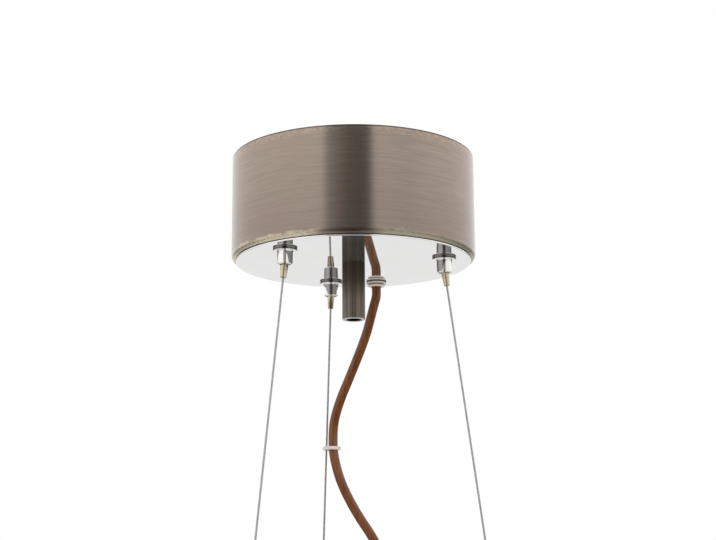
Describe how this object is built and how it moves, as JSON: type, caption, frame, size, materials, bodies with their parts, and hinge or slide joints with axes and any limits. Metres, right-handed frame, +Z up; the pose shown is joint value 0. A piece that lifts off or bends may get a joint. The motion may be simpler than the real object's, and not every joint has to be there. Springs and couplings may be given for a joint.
{
  "type": "pendant lamp suspension",
  "caption": "Ceiling canopy with a polished plate, tube nut, wire grippers with leaning suspension wires, and a mains cord clipped to one wire, its spare length tied up as a hank.",
  "frame": {"origin": "centre of the ceiling bar's upper face, where it meets the ceiling, on the threaded rod's axis", "axes": "+Z up towards the ceiling, +X to the right and +Y away from someone who looks at the lamp with the cord at the far side, as in the picture"},
  "size_m": [0.1565, 0.1565, 0.3719],
  "materials": {
    "aged_nickel": "antique nickel plate on spun steel, fine brushing round the cup, clear lacquer",
    "polished_plate": "mirror polish",
    "dark_nickel": "dark nickel plate, brushed along its length",
    "chrome_plate": "bright chrome plate on turned brass",
    "tip_brass": "turned, satin",
    "screw_brass": "turned, bright",
    "zinc_steel": "zinc plate, passivated",
    "wire_steel": "stranded stainless steel",
    "spring_steel": "drawn spring wire",
    "ball_steel": "hardened and polished",
    "cord_sheath": "glossy brown PVC sheath",
    "clear_plastic": "clear moulded plastic",
    "white_plastic": "moulded white plastic",
    "tie_strap": "black rubber strap",
    "core_blue": "PVC core insulation",
    "core_green_yellow": "PVC core insulation, green and yellow",
    "core_brown": "PVC core insulation"
  },
  "bodies": {
    "ceiling": {"ceiling_bar": "zinc_steel", "ceiling_earth_screw": "screw_brass", "threaded_rod": "zinc_steel", "rod_lock_nut": "zinc_steel", "canopy_stop_nut": "zinc_steel"},
    "canopy": {"canopy_shell": "aged_nickel", "mirror_plate": "polished_plate", "gripper_a_housing": "chrome_plate", "gripper_a_nut": "zinc_steel", "gripper_a_spring": "spring_steel", "gripper_b_housing": "chrome_plate", "gripper_b_nut": "zinc_steel", "gripper_b_spring": "spring_steel", "gripper_c_housing": "chrome_plate", "gripper_c_nut": "zinc_steel", "gripper_c_spring": "spring_steel", "cord_grip": "clear_plastic", "cord_grip_nut": "white_plastic", "cord_inside": "cord_sheath", "cord": "cord_sheath", "cord_clip": "clear_plastic", "cord_hank": "cord_sheath", "hank_tie": "tie_strap", "cord_end": "cord_sheath", "lamp_connector": "white_plastic", "terminal_block": "white_plastic", "terminal_screw_1": "screw_brass", "terminal_screw_2": "screw_brass", "terminal_screw_3": "screw_brass", "core_neutral": "core_blue", "core_earth": "core_green_yellow", "core_live": "core_brown", "earth_stud": "zinc_steel", "earth_lug": "screw_brass", "earth_lead": "core_green_yellow"},
    "tube_nut": {"tube_nut": "dark_nickel"},
    "chuck_a": {"gripper_a_cage": "tip_brass", "gripper_a_ball_1": "ball_steel", "gripper_a_ball_2": "ball_steel", "gripper_a_ball_3": "ball_steel", "wire_a_tail": "wire_steel"},
    "wire_a": {"gripper_a_tip": "tip_brass", "wire_a": "wire_steel", "wire_a_stud": "chrome_plate"},
    "chuck_b": {"gripper_b_cage": "tip_brass", "gripper_b_ball_1": "ball_steel", "gripper_b_ball_2": "ball_steel", "gripper_b_ball_3": "ball_steel", "wire_b_tail": "wire_steel", "gripper_b_tip": "tip_brass", "wire_b": "wire_steel", "wire_b_stud": "chrome_plate"},
    "chuck_c": {"gripper_c_cage": "tip_brass", "gripper_c_ball_1": "ball_steel", "gripper_c_ball_2": "ball_steel", "gripper_c_ball_3": "ball_steel", "wire_c_tail": "wire_steel"},
    "wire_c": {"gripper_c_tip": "tip_brass", "wire_c": "wire_steel", "wire_c_stud": "chrome_plate"}
  },
  "joints": [
    {"name": "canopy_lower", "type": "slide", "parent": "ceiling", "child": "canopy", "axis": [0, 0, -1], "range_m": [0, 0.02]},
    {"name": "tube_nut_turn", "type": "hinge", "parent": "canopy", "child": "tube_nut", "pos_m": [0, 0, -0.08], "axis": [0, 0, -1], "range_deg": [0, 7200]},
    {"name": "chuck_a_press", "type": "slide", "parent": "canopy", "child": "chuck_a", "axis": [0, 0, 1], "range_m": [0, 0.001], "stiffness_N_per_m": 900, "springref_m": -0.002, "deforming": ["gripper_a_spring"]},
    {"name": "wire_a_tilt", "type": "hinge", "parent": "chuck_a", "child": "wire_a", "pos_m": [-0.04023, -0.04023, -0.0726], "axis": [-0.7071, 0.7071, 0], "range_deg": [-17.4, 2.6]},
    {"name": "chuck_b_press", "type": "slide", "parent": "canopy", "child": "chuck_b", "axis": [0, 0, 1], "range_m": [0, 0.001], "stiffness_N_per_m": 900, "springref_m": -0.002, "deforming": ["gripper_b_spring"]},
    {"name": "chuck_c_press", "type": "slide", "parent": "canopy", "child": "chuck_c", "axis": [0, 0, 1], "range_m": [0, 0.001], "stiffness_N_per_m": 900, "springref_m": -0.002, "deforming": ["gripper_c_spring"]},
    {"name": "wire_c_tilt", "type": "hinge", "parent": "chuck_c", "child": "wire_c", "pos_m": [0.05496, -0.01473, -0.0726], "axis": [-0.2588, -0.9659, 0], "range_deg": [-17.4, 2.6]}
  ],
  "couplings": [
    {"joint": "tube_nut_turn", "follows": "canopy_lower", "rad_per_m": 6283.2}
  ]
}
